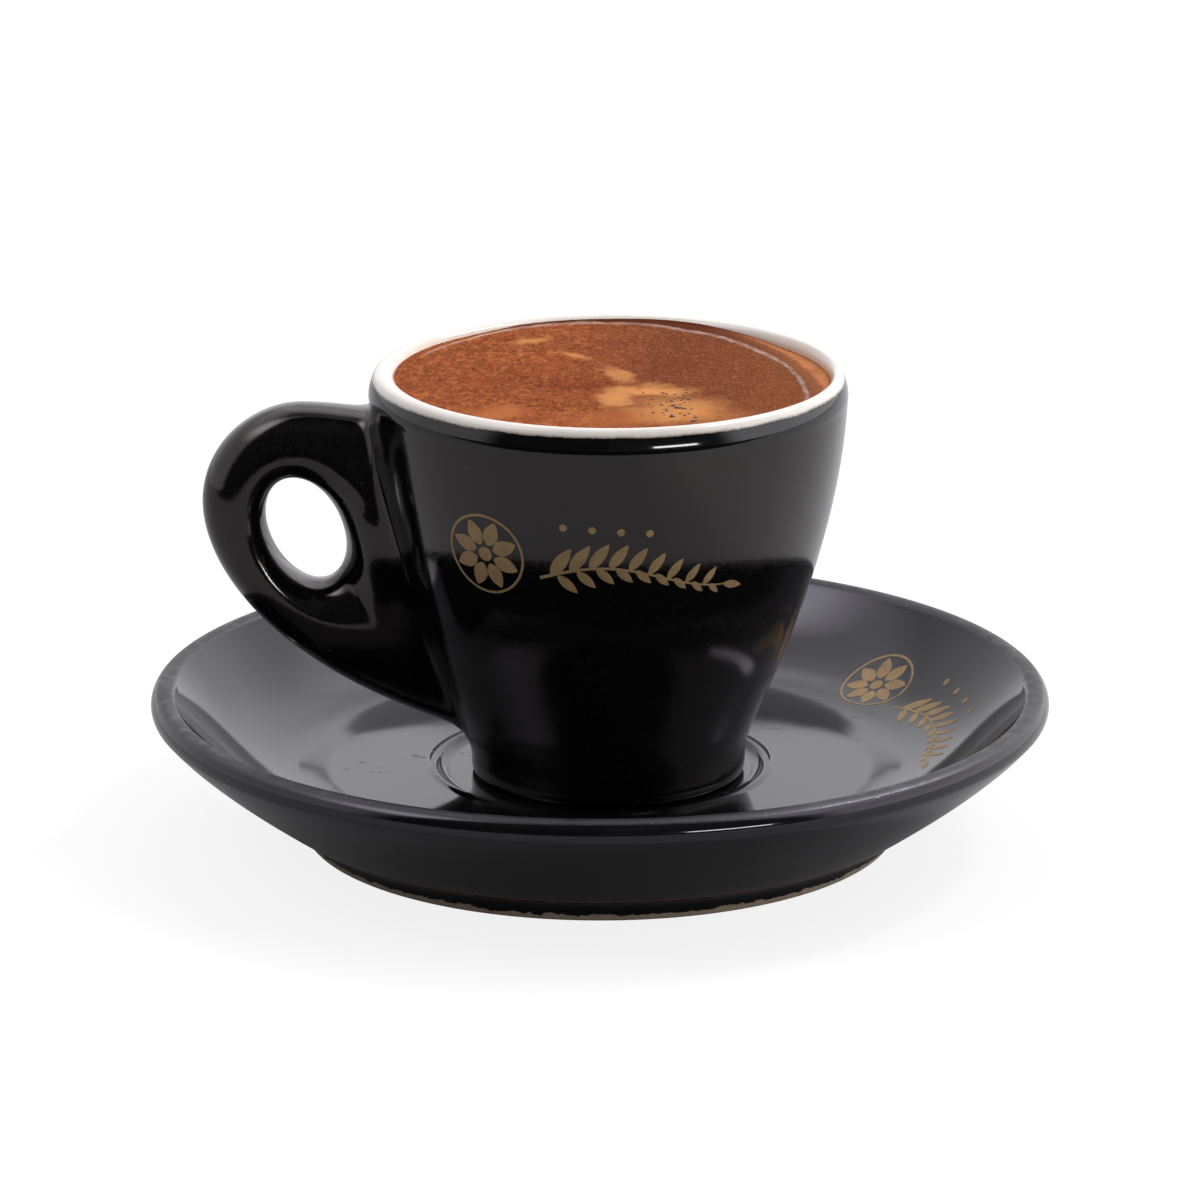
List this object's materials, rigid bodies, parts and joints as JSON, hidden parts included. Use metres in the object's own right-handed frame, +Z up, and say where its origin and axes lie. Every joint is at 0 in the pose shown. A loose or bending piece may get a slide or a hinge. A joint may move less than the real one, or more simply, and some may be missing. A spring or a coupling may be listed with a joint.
{
  "type": "espresso shot",
  "caption": "Full espresso cup with an ear handle, black outside and white inside, standing in its black saucer, the coffee under a tan crema.",
  "frame": {"origin": "centre of the saucer's foot, on the surface that the saucer stands on", "axes": "+Z up; -X towards the handle; -Y towards the viewer who sees the handle at the left"},
  "size_m": [0.12, 0.12, 0.0635],
  "materials": {
    "black_glaze": "gloss",
    "white_glaze": "gloss",
    "gold_print": "satin",
    "espresso": "satin"
  },
  "bodies": {
    "root": {"saucer": "black_glaze", "cup": "black_glaze", "espresso": "espresso"}
  },
  "joints": []
}
